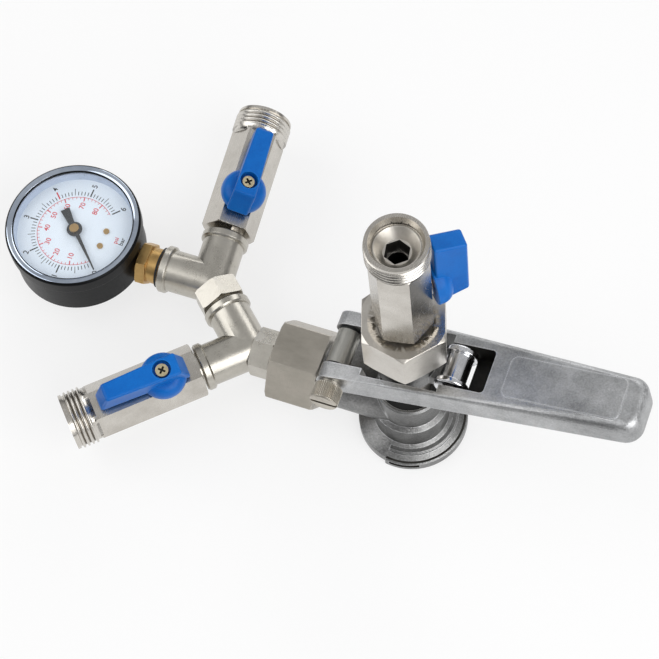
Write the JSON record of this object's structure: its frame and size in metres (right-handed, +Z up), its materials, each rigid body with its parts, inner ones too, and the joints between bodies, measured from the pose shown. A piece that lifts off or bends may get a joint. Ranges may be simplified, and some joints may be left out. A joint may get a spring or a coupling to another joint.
{
  "type": "gas regulator",
  "caption": "Lever-operated keg coupler with a sliding probe, a top ball valve and a forked gas manifold that carries two ball valves and a round pressure gauge.",
  "frame": {"origin": "centre of the flange's underside, on the axis of the keg socket", "axes": "+Z up along the probe's axis to the top outlet, +X toward the lever's tip with the gas inlet toward -X, +Y away from the side with the hinge pin's head"},
  "size_m": [0.2668, 0.1594, 0.1465],
  "materials": {
    "bead_blasted_steel": "bead blasted",
    "satin_lever": "satin",
    "nickel": "satin nickel",
    "brushed_adaptor": "brushed",
    "polished_steel": "polished",
    "ball_chrome": "polished",
    "brass": "satin",
    "rubber": "matte",
    "seat_plastic": "matte",
    "handle_blue": "satin",
    "black_enamel": "satin black",
    "bezel": "polished",
    "lens": "clear",
    "dial_face": "matte white",
    "needle_black": "matte black"
  },
  "bodies": {
    "base": {"coupler_body": "bead_blasted_steel", "base_seal": "rubber", "gland_seal": "rubber", "hinge_washers": "rubber", "inlet_adaptor": "brushed_adaptor", "inlet_washer": "nickel", "gas_check_valve": "rubber", "fork_lower": "nickel", "fork_upper": "nickel", "left_valve_body": "nickel", "left_valve_retainer": "nickel", "left_valve_seats": "seat_plastic", "rear_valve_body": "nickel", "rear_valve_retainer": "nickel", "rear_valve_seats": "seat_plastic", "gauge_stem": "brass", "gauge_seal": "rubber", "gauge_case": "black_enamel", "gauge_bezel": "bezel", "gauge_lens": "lens", "gauge_dial": "dial_face", "dial_screws": "brass", "bourdon_tube": "brass", "movement_plate": "brass"},
    "lever_arm": {"lever": "satin_lever", "hinge_pin": "nickel", "roller_pin": "polished_steel"},
    "roller": {"lift_roller": "polished_steel"},
    "probe_column": {"probe": "nickel", "probe_tip_seal": "rubber", "ball_retainer": "seat_plastic", "probe_yoke": "bead_blasted_steel", "outlet_nut": "nickel", "outlet_washer": "seat_plastic", "top_valve_body": "nickel", "top_valve_retainer": "nickel", "top_valve_seats": "seat_plastic"},
    "check": {"check_ball": "seat_plastic"},
    "top_tap": {"top_valve_ball": "ball_chrome", "top_valve_stem": "brass", "top_valve_handle": "handle_blue", "top_valve_screw": "brass"},
    "left_tap": {"left_valve_ball": "ball_chrome", "left_valve_stem": "brass", "left_valve_handle": "handle_blue", "left_valve_screw": "brass"},
    "rear_tap": {"rear_valve_ball": "ball_chrome", "rear_valve_stem": "brass", "rear_valve_handle": "handle_blue", "rear_valve_screw": "brass"},
    "pointer": {"gauge_needle": "needle_black", "needle_hub": "brass", "movement_pinion": "brass"},
    "quadrant": {"movement_sector": "brass"}
  },
  "joints": [
    {"name": "lever_pivot", "type": "hinge", "parent": "base", "child": "lever_arm", "pos_m": [-0.0251, 0, 0.0479], "axis": [0, 1, 0], "range_deg": [0, 20]},
    {"name": "roller_spin", "type": "hinge", "parent": "lever_arm", "child": "roller", "pos_m": [0.0192, 0, 0.05741], "axis": [0, 1, 0], "continuous": true},
    {"name": "probe_slide", "type": "slide", "parent": "base", "child": "probe_column", "axis": [0, 0, -1], "range_m": [0, 0.01583]},
    {"name": "check_lift", "type": "slide", "parent": "probe_column", "child": "check", "axis": [0, 0, 1], "range_m": [0, 0.004]},
    {"name": "top_tap_turn", "type": "hinge", "parent": "probe_column", "child": "top_tap", "pos_m": [0, 0, 0.1107], "axis": [0.7727, 0.6347, 0], "range_deg": [0, 90]},
    {"name": "left_tap_turn", "type": "hinge", "parent": "base", "child": "left_tap", "pos_m": [-0.09257, -0.02387, 0.02], "axis": [0.1502, -0.1628, 0.9751], "range_deg": [0, 90]},
    {"name": "rear_tap_turn", "type": "hinge", "parent": "base", "child": "rear_tap", "pos_m": [-0.09402, 0.0588, 0.02], "axis": [0.3163, 0.0254, 0.9483], "range_deg": [0, 90]},
    {"name": "needle_turn", "type": "hinge", "parent": "base", "child": "pointer", "pos_m": [-0.1483, 0.02252, 0.03198], "axis": [0, 0, -1], "range_deg": [0, 270]},
    {"name": "sector_swing", "type": "hinge", "parent": "base", "child": "quadrant", "pos_m": [-0.1384, 0.02252, 0.0265], "axis": [0, 0, 1], "range_deg": [0, 39]}
  ],
  "couplings": [
    {"joint": "probe_slide", "follows": "lever_pivot", "m_per_rad": 0.04505},
    {"joint": "sector_swing", "follows": "needle_turn", "ratio": 0.14286}
  ]
}
